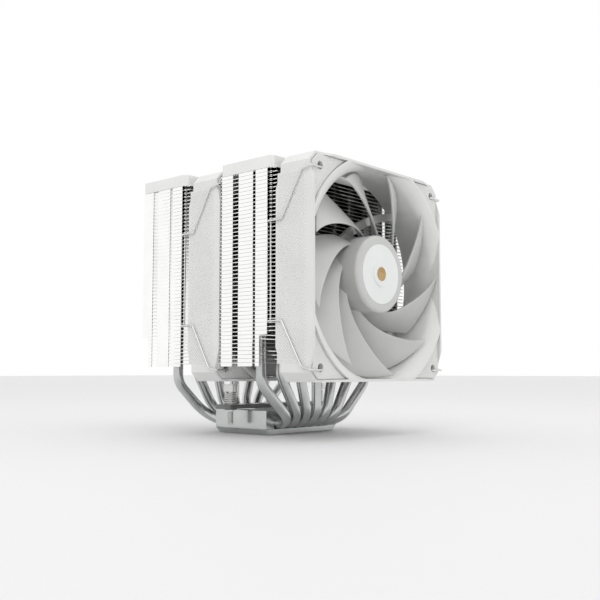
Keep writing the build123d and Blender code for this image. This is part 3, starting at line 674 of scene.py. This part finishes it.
# Angles in degrees and depths in millimetres, as cubics of the share of the way to the hub.
LEAD_ANGLE = (123.2, -46.66, 30.38, -52.93)
TRAIL_ANGLE = (87.2, -22.0, -10.0, -24.0)
LEAD_DEPTH = (-0.25, 8.94, 0.89)
TRAIL_DEPTH = (15.5, 3.0)


def cubic(factors, span):
    """The cubic with these factors, constant first, at every span."""
    return sum(factor * span**power for power, factor in enumerate(factors))


def blade_section(radius, chord, offset):
    """Points of the blade as (x, depth, z); offset is the distance behind its front face."""
    span = (ZERO_RADIUS - radius) / (ZERO_RADIUS - HUB_RADIUS)
    lead = cubic(LEAD_ANGLE, span)
    trail = cubic(TRAIL_ANGLE, span)
    lead_depth = cubic(LEAD_DEPTH, span)
    trail_depth = cubic(TRAIL_DEPTH, span)
    angle = np.radians(lead + (trail - lead) * chord)
    depth = lead_depth + (trail_depth - lead_depth) * (chord - 0.3 * chord * (1 - chord))
    return np.stack([radius * np.cos(angle), depth + offset, radius * np.sin(angle)], -1)


edge_chords = np.array([0, 0.002, 0.006, 0.012, EDGE_CHORD])
front_chords = np.concatenate([edge_chords, np.linspace(0.08, 0.92, 15), 1 - edge_chords[::-1]])
near_edge = np.minimum(front_chords, 1 - front_chords) / EDGE_CHORD
half_circle = np.sqrt(np.clip(1 - (1 - np.clip(near_edge, 0, 1)) ** 2, 0, 1))
fullness = half_circle * (1 - 0.35 * front_chords)
inner_radii = np.linspace(ROOT_RADIUS + 0.2, TIP_START, 16)
radii = np.concatenate([[ROOT_RADIUS], inner_radii, [57.3, 57.6, 57.75, TIP_RADIUS]])
into_tip = np.clip(radii - TIP_START, 0, 0.8) / 0.8
tip_fullness = np.sqrt(np.clip(1 - into_tip**2, 0, 1))
tip_fullness[0] = 0
half = THICKNESS / 2 * tip_fullness[:, None] * fullness[None, :]
around_chords = np.concatenate([front_chords, front_chords[-2:0:-1]])[None, :]
around_offset = THICKNESS / 2 + np.concatenate([-half, half[:, -2:0:-1]], axis=1)
section = blade_section(radii[:, None], around_chords, around_offset)
blade_faces = grid_faces(*section.shape[:2], wrap_columns=True)

rim = np.radians(np.linspace(90, 0, 8))
hub_profile = np.concatenate([
    [(0.4, 0), (0.4, 16.82), (-0.2, 16.82)],
    np.stack([2.0 - 2.2 * np.sin(rim), 19.8 + 2.2 * np.cos(rim)], -1),
    [(19.4, 22), (19.4, 20.6), (1.4, 20.6), (1.4, 3.5), (5.0, 3.5), (5.0, 1.52), (1.4, 1.52), (1.4, 0)],
])
spin = np.linspace(0, 2 * np.pi, 120, endpoint=False)[None, :]
hub_depth, hub_reach = hub_profile[:, :1], hub_profile[:, 1:]
hub = np.stack([hub_reach * np.cos(spin), hub_depth + 0 * spin, hub_reach * np.sin(spin)], -1)
hub_faces = grid_faces(*hub.shape[:2], wrap_columns=True)

for fan, place in FANS.items():
    shells = [(hub, hub_faces)]
    for turn in np.arange(BLADE_COUNT) * 2 * np.pi / BLADE_COUNT:
        x, depth, z = np.moveaxis(section, -1, 0)
        turned = [x * np.cos(turn) - z * np.sin(turn), depth, x * np.sin(turn) + z * np.cos(turn)]
        shells.append((np.stack(turned, -1), blade_faces))
    points, faces = joined(shells)
    points = points + [0, place["pad_y"], place["z"]]
    mesh = mesh_from("impeller", points, faces, 40)
    piece(f"{fan}_impeller_moulded", mesh, f"{fan}_rotor", "blade_grey", [f"{fan}_impeller"])
print("points on one blade:", section.shape[0] * section.shape[1])

# %% [markdown]
# ## Light and camera
#
# The object stands on a plain pale floor in an even white surround, the way a product is shot in
# a light tent: the light comes from every side, so white plastic keeps soft, shallow shadows. Two
# square lamps, one to the front left and one above, give edges and metal a little more shape.

# %% White surround
scene = bpy.context.scene
scene.view_settings.view_transform = "Standard"
world = bpy.data.worlds.new("white_room")
world.use_nodes = True
scene.world = world
surround = world.node_tree.nodes["Background"]
surround.inputs["Color"].default_value = linear("#ffffff")
surround.inputs["Strength"].default_value = 1.0
print("surround:", world.name)

# %% Pale floor
FLOOR_HALF = 6.0
FLOOR_DEPTH = 0.0002
floor_mesh = bpy.data.meshes.new("floor")
corners = np.array([[-1, -1], [1, -1], [1, 1], [-1, 1]]) * FLOOR_HALF
floor_mesh.from_pydata([(x, y, -FLOOR_DEPTH) for x, y in corners], [], [(0, 1, 2, 3)])
floor = bpy.data.objects.new("floor", floor_mesh)
scene.collection.objects.link(floor)
floor_material, _, floor_shader = new_material("pale_studio_floor")
floor_shader.inputs["Base Color"].default_value = linear("#e6e6e6")
floor_shader.inputs["Roughness"].default_value = 0.7
floor.data.materials.append(floor_material)
print("floor side in metres:", 2 * FLOOR_HALF)

# %% Lamps
def lamp(name, place, aim, size, power):
    """A square area lamp at a place in metres, turned to face the aim point."""
    light = bpy.data.lights.new(name, "AREA")
    light.size = size
    light.energy = power
    obj = bpy.data.objects.new(name, light)
    obj.location = place
    heading = np.array(aim) - np.array(place)
    obj.rotation_euler = Vector(heading).to_track_quat("-Z", "Y").to_euler()
    scene.collection.objects.link(obj)


MIDDLE = (0, 0, 0.08)
lamp("key_lamp", (-0.38, -0.26, 0.52), MIDDLE, 0.3, 0.35)
lamp("top_lamp", (0.1, 0.0, 0.7), MIDDLE, 0.4, 0.45)
print("lamps:", [light.name for light in bpy.data.lights])

# %% Camera
camera_data = bpy.data.cameras.new("portrait")
camera_data.lens = 50.47
camera_data.sensor_width = 36
camera = bpy.data.objects.new("portrait", camera_data)
camera.location = (-0.38168, -0.35602, 0.03634)
pitch = np.radians(4.857)
heading = np.array([0.7496 * np.cos(pitch), 0.662 * np.cos(pitch), np.sin(pitch)])
camera.rotation_euler = Vector(heading).to_track_quat("-Z", "Y").to_euler()
scene.collection.objects.link(camera)
scene.camera = camera
